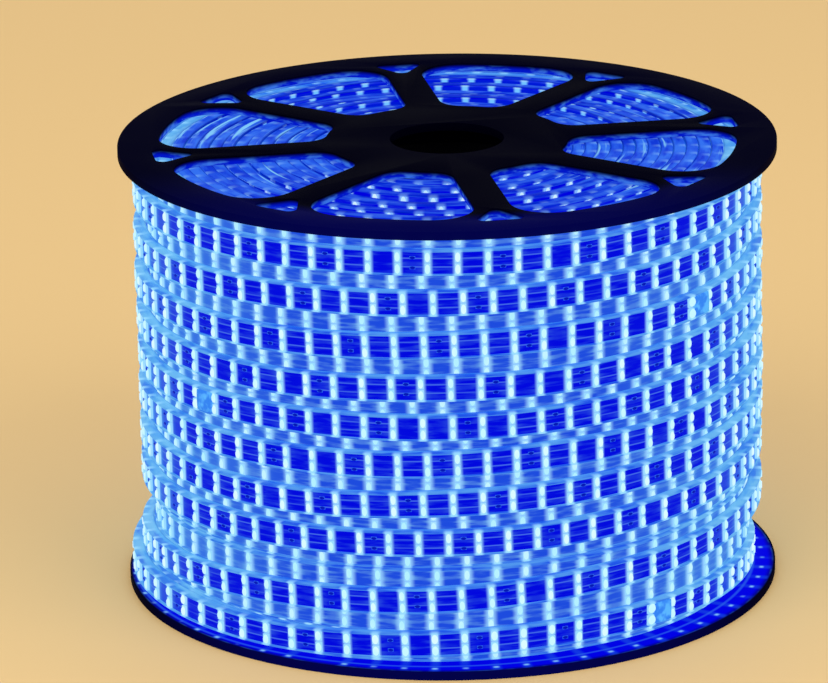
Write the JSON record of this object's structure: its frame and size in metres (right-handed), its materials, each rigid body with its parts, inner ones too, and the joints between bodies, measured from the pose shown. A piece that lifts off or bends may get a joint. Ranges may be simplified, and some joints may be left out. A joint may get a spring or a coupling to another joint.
{
  "type": "reel of led rope light",
  "caption": "Standing reel with two spoked round flanges on a core tube, wound full with flat LED rope light in open layers.",
  "frame": {"origin": "centre of the underside of the lower flange, on the reel's axis", "axes": "+Z along the reel's axis, up from the lower flange to the upper one; +X to the right as the picture sees it"},
  "size_m": [0.38, 0.38, 0.2615],
  "materials": {
    "flange": "moulded black plastic, slightly satin",
    "core": "plain black tube",
    "rope": "clear soft plastic strip with lit blue LEDs inside"
  },
  "bodies": {
    "root": {"lower_flange": "flange", "upper_flange": "flange", "core_tube": "core", "rope_light_winding": "rope"}
  },
  "joints": []
}
